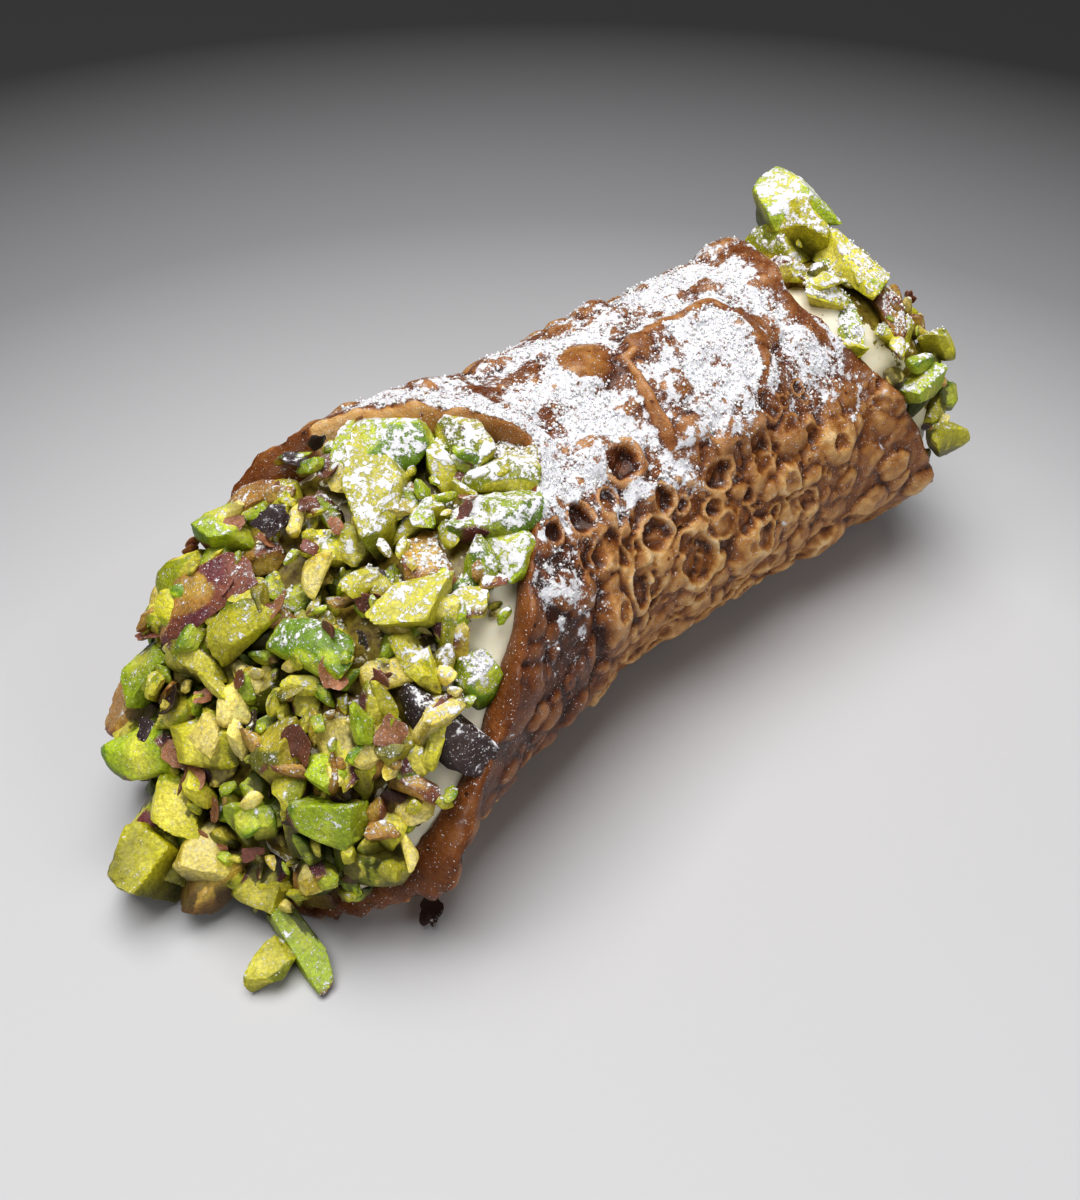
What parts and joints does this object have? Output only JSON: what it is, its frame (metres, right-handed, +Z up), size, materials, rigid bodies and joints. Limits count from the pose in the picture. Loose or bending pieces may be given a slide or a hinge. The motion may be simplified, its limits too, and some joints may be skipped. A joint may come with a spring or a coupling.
{
  "type": "cannoli",
  "caption": "Fried blistered pastry tube with slanted mouths, filled with sweet cream that bulges from both ends under chopped pistachios and dusted with icing sugar.",
  "frame": {"origin": "on the flat resting strip under the tube, half way along it", "axes": "+X along the tube from the showy near mouth to the far mouth, +Z up, -Z into the surface it rests on"},
  "size_m": [0.1133, 0.0422, 0.0429],
  "materials": {
    "fried_pastry": "satin",
    "cream_and_pistachios": "matte"
  },
  "bodies": {
    "root": {"pastry_shell": "fried_pastry", "nut_topped_filling": "cream_and_pistachios"}
  },
  "joints": []
}
